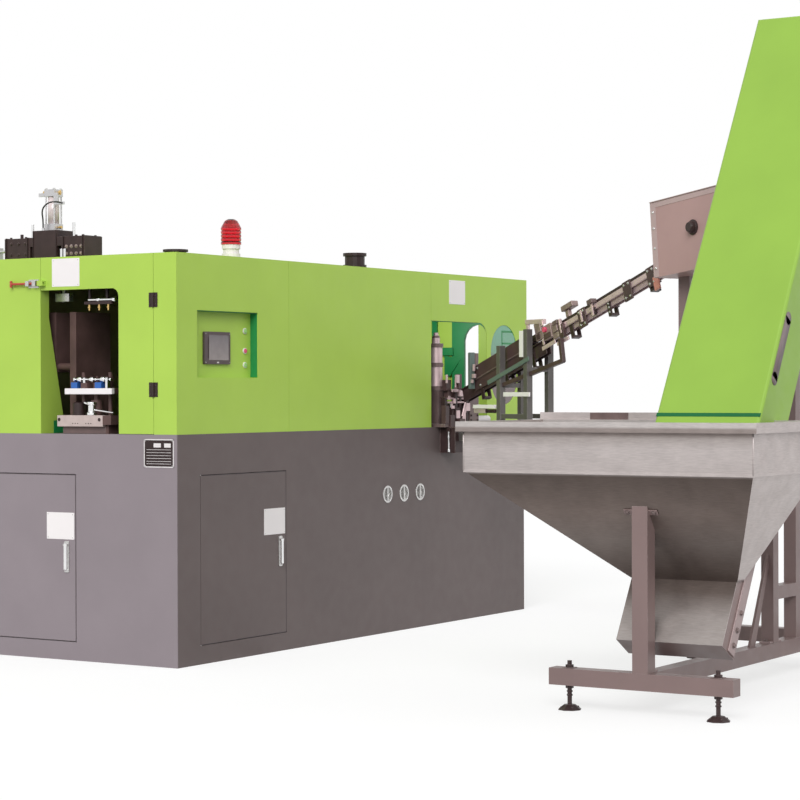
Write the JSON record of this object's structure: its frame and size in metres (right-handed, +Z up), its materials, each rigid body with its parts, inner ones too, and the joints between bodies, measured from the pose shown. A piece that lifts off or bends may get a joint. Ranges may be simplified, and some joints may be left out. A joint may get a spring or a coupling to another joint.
{
  "type": "stretch blow moulding machine",
  "caption": "Automatic stretch blow moulding machine: covered moulding cell on a cabinet base, fed by a hopper, leaning belt elevator, roller sorter and sloping chute.",
  "frame": {"origin": "middle of the machine base underside, on the floor", "axes": "+Z up; +X along the control side from the loading end to the infeed bay; +Y from the control side to the back, away from the hopper"},
  "size_m": [3.895, 5.169, 3.0636],
  "materials": {
    "base_paint": "satin",
    "cover_paint": "satin",
    "stand_paint": "satin",
    "stainless": "brushed",
    "bright_steel": "polished",
    "dark_steel": "satin",
    "alloy": "satin",
    "black_paint": "satin",
    "red_paint": "satin",
    "clear_pane": "clear",
    "panel_plastic": "matte",
    "green_cap": "gloss",
    "red_cap": "gloss",
    "second_green_cap": "gloss",
    "white_plastic": "gloss",
    "red_lens": "gloss",
    "hose_rubber": "matte",
    "belt_rubber": "matte"
  },
  "bodies": {
    "machine": {"base_frame": "base_paint", "machine_bed": "base_paint", "base_side_panel": "base_paint", "base_end_panel": "base_paint", "base_rear_panels": "base_paint", "inspection_ports": "stainless", "corner_cover": "cover_paint", "front_cover": "cover_paint", "infeed_cover": "cover_paint", "window_pane": "clear_pane", "far_cover": "cover_paint", "back_cover": "cover_paint", "cover_frame": "cover_paint", "roof": "cover_paint", "end_side_cover": "cover_paint", "end_hinge_leaves": "black_paint", "latch_body": "stainless", "operator_panel": "panel_plastic", "button_bezels": "bright_steel", "beacon_base": "white_plastic", "beacon_dome": "red_lens", "exhaust_stub": "black_paint", "roof_vent": "black_paint", "blowing_block": "dark_steel", "stretch_cylinder": "alloy", "air_hose": "hose_rubber", "clamp_frame": "dark_steel", "lower_door_pins": "bright_steel", "infeed_unit": "dark_steel", "chute_rails": "stainless", "chute_clamps": "stainless", "chute_stand": "stand_paint", "sorter_housing": "stand_paint", "elevator_hood": "cover_paint", "elevator_frame": "stand_paint", "elevator_belt": "belt_rubber", "hopper_tub": "stainless", "stand_frame": "stand_paint", "levelling_feet": "dark_steel"},
    "end_door": {"end_door": "cover_paint", "end_door_leaves": "black_paint"},
    "front_lower_door": {"lower_front_door": "base_paint", "front_handle_plate": "stainless"},
    "front_lever": {"front_handle_lever": "bright_steel"},
    "end_lower_door": {"lower_end_door": "base_paint", "end_handle_plate": "stainless"},
    "end_lever": {"end_handle_lever": "bright_steel"},
    "latch_bolt": {"latch_bolt": "red_paint"},
    "start_button": {"start_button": "green_cap"},
    "stop_button": {"stop_button": "red_cap"},
    "reset_button": {"reset_button": "second_green_cap"},
    "stretch_carriage": {"stretch_carriage": "bright_steel"},
    "mould_front": {"mould_half_front": "alloy"},
    "mould_back": {"mould_half_back": "alloy"},
    "lift_table": {"lift_table": "alloy"},
    "infeed_pusher": {"infeed_pusher": "bright_steel"},
    "roller_near": {"sorter_roller_near": "bright_steel"},
    "roller_far": {"sorter_roller_far": "bright_steel"},
    "foot_drum": {"foot_drum": "bright_steel"},
    "head_drum": {"head_drum": "bright_steel"}
  },
  "joints": [
    {"name": "end_door_hinge", "type": "hinge", "parent": "machine", "child": "end_door", "pos_m": [-1.741, -0.86, 1.304], "axis": [0, 0, 1], "range_deg": [0, 110]},
    {"name": "front_lower_door_hinge", "type": "hinge", "parent": "machine", "child": "front_lower_door", "pos_m": [-1.542, -0.994, 0.091], "axis": [0, 0, -1], "range_deg": [0, 110]},
    {"name": "end_lower_door_hinge", "type": "hinge", "parent": "machine", "child": "end_lower_door", "pos_m": [-1.729, 0.348, 0.091], "axis": [0, 0, -1], "range_deg": [0, 110]},
    {"name": "front_lever_lift", "type": "hinge", "parent": "front_lower_door", "child": "front_lever", "pos_m": [-0.88, -1.0118, 0.572], "axis": [-1, 0, 0], "range_deg": [0, 60]},
    {"name": "end_lever_lift", "type": "hinge", "parent": "end_lower_door", "child": "end_lever", "pos_m": [-1.7468, -0.314, 0.572], "axis": [0, 1, 0], "range_deg": [0, 60]},
    {"name": "latch_bolt_slide", "type": "slide", "parent": "machine", "child": "latch_bolt", "axis": [0, -1, 0], "range_m": [0, 0.03]},
    {"name": "start_button_press", "type": "slide", "parent": "machine", "child": "start_button", "axis": [0, 1, 0], "range_m": [0, 0.003], "stiffness_N_per_m": 400},
    {"name": "stop_button_press", "type": "slide", "parent": "machine", "child": "stop_button", "axis": [0, 1, 0], "range_m": [0, 0.003], "stiffness_N_per_m": 400},
    {"name": "reset_button_press", "type": "slide", "parent": "machine", "child": "reset_button", "axis": [0, 1, 0], "range_m": [0, 0.003], "stiffness_N_per_m": 400},
    {"name": "stretch_carriage_slide", "type": "slide", "parent": "machine", "child": "stretch_carriage", "axis": [0, 0, -1], "range_m": [0, 0.17]},
    {"name": "mould_front_slide", "type": "slide", "parent": "machine", "child": "mould_front", "axis": [0, -1, 0], "range_m": [0, 0.07]},
    {"name": "mould_back_slide", "type": "slide", "parent": "machine", "child": "mould_back", "axis": [0, 1, 0], "range_m": [0, 0.07]},
    {"name": "lift_table_slide", "type": "slide", "parent": "machine", "child": "lift_table", "axis": [0, 0, 1], "range_m": [0, 0.06]},
    {"name": "infeed_pusher_slide", "type": "slide", "parent": "machine", "child": "infeed_pusher", "axis": [1, 0, 0], "range_m": [0, 0.09]},
    {"name": "roller_near_spin", "type": "hinge", "parent": "machine", "child": "roller_near", "pos_m": [-0.17627, -3.24123, 1.98463], "axis": [-0.45, -0.8888, 0.0872], "continuous": true},
    {"name": "roller_far_spin", "type": "hinge", "parent": "machine", "child": "roller_far", "pos_m": [-0.27797, -3.18974, 1.98463], "axis": [-0.45, -0.8888, 0.0872], "continuous": true},
    {"name": "head_drum_spin", "type": "hinge", "parent": "machine", "child": "head_drum", "pos_m": [-0.33835, -3.6995, 2.89384], "axis": [0, 1, 0], "continuous": true},
    {"name": "foot_drum_spin", "type": "hinge", "parent": "machine", "child": "foot_drum", "pos_m": [-1.87075, -3.6995, 0.33337], "axis": [0, 1, 0], "continuous": true}
  ],
  "couplings": [
    {"joint": "mould_back_slide", "follows": "mould_front_slide", "ratio": 1},
    {"joint": "roller_far_spin", "follows": "roller_near_spin", "ratio": -1},
    {"joint": "foot_drum_spin", "follows": "head_drum_spin", "ratio": 1}
  ]
}
